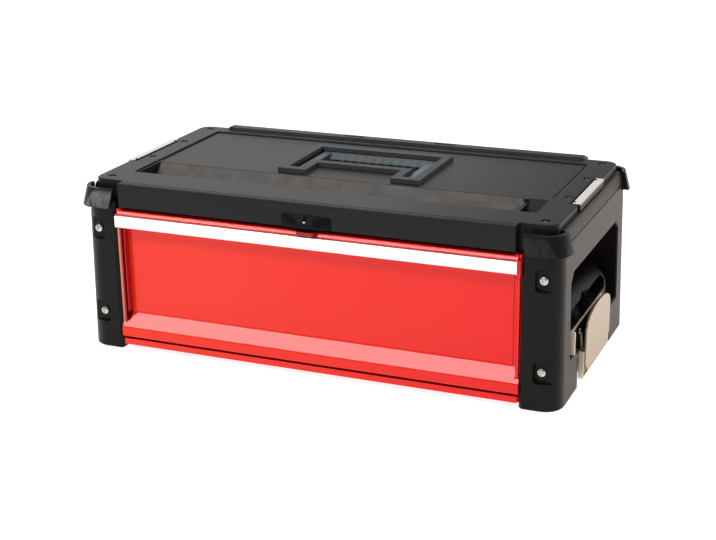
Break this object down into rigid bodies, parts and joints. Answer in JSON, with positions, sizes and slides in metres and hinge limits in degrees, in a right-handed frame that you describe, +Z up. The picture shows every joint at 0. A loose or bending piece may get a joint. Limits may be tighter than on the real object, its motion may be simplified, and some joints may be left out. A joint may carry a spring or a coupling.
{
  "type": "tool cart",
  "caption": "Stackable drawer module of a tool cart: red steel drawer in black moulded end frames, tray cover with folding handle, side draw latches.",
  "frame": {"origin": "on the floor at the middle of the four feet", "axes": "+Z up, front (drawer) at -Y, +X to the right seen from the front"},
  "size_m": [0.503, 0.267, 0.178],
  "materials": {
    "end_frame_left": "moulded black, fine grain",
    "end_frame_right": "moulded black, fine grain",
    "post_screw_front_left_lower": "bright zinc plate",
    "post_screw_front_left_upper": "bright zinc plate",
    "post_screw_front_right_lower": "bright zinc plate",
    "post_screw_front_right_upper": "bright zinc plate",
    "post_screw_rear_left_lower": "bright zinc plate",
    "post_screw_rear_left_upper": "bright zinc plate",
    "post_screw_rear_right_lower": "bright zinc plate",
    "post_screw_rear_right_upper": "bright zinc plate",
    "chassis_shell": "gloss red enamel on sheet steel",
    "back_panel": "gloss red enamel on sheet steel",
    "front_rail": "gloss red enamel on sheet steel",
    "top_cross_rail": "galvanised",
    "slide_outer_left": "galvanised",
    "slide_middle_left": "galvanised",
    "slide_inner_left": "galvanised",
    "slide_outer_right": "galvanised",
    "slide_middle_right": "galvanised",
    "slide_inner_right": "galvanised",
    "drawer_box": "gloss red enamel on sheet steel",
    "drawer_front": "gloss red enamel on sheet steel",
    "handle_strip": "satin anodised extrusion",
    "drawer_hasp_tab": "gloss red enamel on sheet steel",
    "top_cover": "moulded black, fine grain",
    "cover_screw_left_front": "bright zinc plate",
    "cover_screw_left_mid_front": "bright zinc plate",
    "cover_screw_left_mid_rear": "bright zinc plate",
    "cover_screw_left_rear": "bright zinc plate",
    "cover_screw_right_front": "bright zinc plate",
    "cover_screw_right_mid_front": "bright zinc plate",
    "cover_screw_right_mid_rear": "bright zinc plate",
    "cover_screw_right_rear": "bright zinc plate",
    "carry_handle": "moulded dark grey",
    "handle_pin_left": "galvanised",
    "strike_plate_left": "warm nickel plate",
    "latch_housing_left": "moulded black, fine grain",
    "latch_bracket_left": "warm nickel plate",
    "latch_lever_left": "warm nickel plate",
    "latch_bail_left": "warm nickel plate",
    "latch_pin_left": "galvanised",
    "latch_screw_front_left": "bright zinc plate",
    "latch_screw_rear_left": "bright zinc plate",
    "handle_pin_right": "galvanised",
    "strike_plate_right": "warm nickel plate",
    "latch_housing_right": "moulded black, fine grain",
    "latch_bracket_right": "warm nickel plate",
    "latch_lever_right": "warm nickel plate",
    "latch_bail_right": "warm nickel plate",
    "latch_pin_right": "galvanised",
    "latch_screw_front_right": "bright zinc plate",
    "latch_screw_rear_right": "bright zinc plate"
  },
  "bodies": {
    "module": {"end_frame_left": "end_frame_left", "end_frame_right": "end_frame_right", "post_screw_front_left_lower": "post_screw_front_left_lower", "post_screw_front_left_upper": "post_screw_front_left_upper", "post_screw_front_right_lower": "post_screw_front_right_lower", "post_screw_front_right_upper": "post_screw_front_right_upper", "post_screw_rear_left_lower": "post_screw_rear_left_lower", "post_screw_rear_left_upper": "post_screw_rear_left_upper", "post_screw_rear_right_lower": "post_screw_rear_right_lower", "post_screw_rear_right_upper": "post_screw_rear_right_upper", "chassis_shell": "chassis_shell", "back_panel": "back_panel", "front_rail": "front_rail", "top_cross_rail": "top_cross_rail", "slide_outer_left": "slide_outer_left", "slide_outer_right": "slide_outer_right", "top_cover": "top_cover", "cover_screw_left_front": "cover_screw_left_front", "cover_screw_left_mid_front": "cover_screw_left_mid_front", "cover_screw_left_mid_rear": "cover_screw_left_mid_rear", "cover_screw_left_rear": "cover_screw_left_rear", "cover_screw_right_front": "cover_screw_right_front", "cover_screw_right_mid_front": "cover_screw_right_mid_front", "cover_screw_right_mid_rear": "cover_screw_right_mid_rear", "cover_screw_right_rear": "cover_screw_right_rear", "handle_pin_left": "handle_pin_left", "strike_plate_left": "strike_plate_left", "latch_housing_left": "latch_housing_left", "latch_bracket_left": "latch_bracket_left", "latch_pin_left": "latch_pin_left", "latch_screw_front_left": "latch_screw_front_left", "latch_screw_rear_left": "latch_screw_rear_left", "handle_pin_right": "handle_pin_right", "strike_plate_right": "strike_plate_right", "latch_housing_right": "latch_housing_right", "latch_bracket_right": "latch_bracket_right", "latch_pin_right": "latch_pin_right", "latch_screw_front_right": "latch_screw_front_right", "latch_screw_rear_right": "latch_screw_rear_right"},
    "drawer": {"drawer_box": "drawer_box", "drawer_front": "drawer_front", "handle_strip": "handle_strip", "drawer_hasp_tab": "drawer_hasp_tab", "slide_inner_left": "slide_inner_left", "slide_inner_right": "slide_inner_right"},
    "slide_middles": {"slide_middle_left": "slide_middle_left", "slide_middle_right": "slide_middle_right"},
    "handle": {"carry_handle": "carry_handle"},
    "lever_left": {"latch_lever_left": "latch_lever_left"},
    "bail_left": {"latch_bail_left": "latch_bail_left"},
    "lever_right": {"latch_lever_right": "latch_lever_right"},
    "bail_right": {"latch_bail_right": "latch_bail_right"}
  },
  "joints": [
    {"name": "drawer_slide", "type": "slide", "parent": "module", "child": "drawer", "axis": [0, -1, 0], "range_m": [0, 0.2]},
    {"name": "slide_middle_travel", "type": "slide", "parent": "module", "child": "slide_middles", "axis": [0, -1, 0], "range_m": [0, 0.1]},
    {"name": "handle_hinge", "type": "hinge", "parent": "module", "child": "handle", "pos_m": [0, -0.012, 0.1675], "axis": [1, 0, 0], "range_deg": [0, 95]},
    {"name": "latch_lever_left_hinge", "type": "hinge", "parent": "module", "child": "lever_left", "pos_m": [-0.2445, 0, 0.0145], "axis": [0, -1, 0], "range_deg": [0, 100]},
    {"name": "latch_bail_left_hinge", "type": "hinge", "parent": "lever_left", "child": "bail_left", "pos_m": [-0.2445, 0, 0.0275], "axis": [0, -1, 0], "range_deg": [-100, 0]},
    {"name": "latch_lever_right_hinge", "type": "hinge", "parent": "module", "child": "lever_right", "pos_m": [0.2445, 0, 0.0145], "axis": [0, 1, 0], "range_deg": [0, 100]},
    {"name": "latch_bail_right_hinge", "type": "hinge", "parent": "lever_right", "child": "bail_right", "pos_m": [0.2445, 0, 0.0275], "axis": [0, 1, 0], "range_deg": [-100, 0]}
  ],
  "couplings": [
    {"joint": "slide_middle_travel", "follows": "drawer_slide", "ratio": 0.5},
    {"joint": "latch_bail_left_hinge", "follows": "latch_lever_left_hinge", "ratio": -1},
    {"joint": "latch_bail_right_hinge", "follows": "latch_lever_right_hinge", "ratio": -1}
  ]
}
